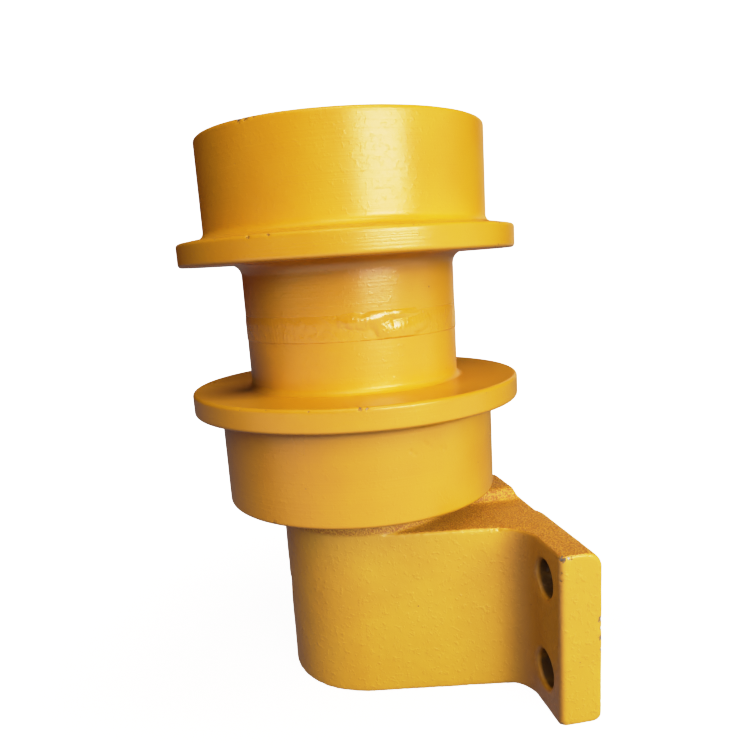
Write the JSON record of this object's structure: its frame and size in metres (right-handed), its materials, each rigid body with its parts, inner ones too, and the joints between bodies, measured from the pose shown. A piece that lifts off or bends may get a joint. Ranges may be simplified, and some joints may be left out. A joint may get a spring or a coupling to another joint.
{
  "type": "track carrier roller",
  "caption": "Cantilevered double-flange carrier roller for a crawler track, on a cast bracket with a bolted foot; the shell turns on its shaft.",
  "frame": {"origin": "on the roller's axis, at the bracket's end face on which the assembly stands", "axes": "+Z along the roller's axis to its free end, +X from the axis to the bracket's bolted mounting face, +Y across the foot"},
  "size_m": [0.187, 0.208, 0.299],
  "materials": {
    "bracket_paint": "yellow paint on a sand casting, semi-gloss, orange peel",
    "shell_paint": "yellow paint on turned steel, semi-gloss, fine turning lines",
    "weld_paint": "yellow paint over a weld bead",
    "cover_paint": "yellow paint, semi-gloss",
    "plug_paint": "yellow paint, semi-gloss",
    "lock_pin_paint": "yellow paint, worn",
    "machined_steel": "turned, lightly oiled",
    "bolt_steel": "zinc plated",
    "seal_iron": "lapped",
    "bronze": "bearing bronze, turned",
    "copper": "soft copper",
    "rubber": "nitrile"
  },
  "bodies": {
    "bracket_side": {"bracket": "bracket_paint", "shaft": "machined_steel", "lock_pin": "lock_pin_paint", "seal_collar": "machined_steel", "collar_oring": "rubber", "static_seal_ring": "seal_iron", "static_seal_oring": "rubber", "thrust_plate": "machined_steel", "lock_tab_plate": "machined_steel", "thrust_bolts": "bolt_steel"},
    "roller_side": {"rotating_seal_ring": "seal_iron", "rotating_seal_oring": "rubber", "cover_oring": "rubber", "inner_bushing": "bronze", "outer_bushing": "bronze", "shell_inner": "shell_paint", "shell_outer": "shell_paint", "centre_weld": "weld_paint", "end_cover": "cover_paint", "end_cover_bolts": "bolt_steel", "plug_washer": "copper", "oil_plug": "plug_paint"}
  },
  "joints": [
    {"name": "roller_spin", "type": "hinge", "parent": "bracket_side", "child": "roller_side", "pos_m": [0, 0, 0.2028], "axis": [0, 0, 1], "continuous": true}
  ]
}
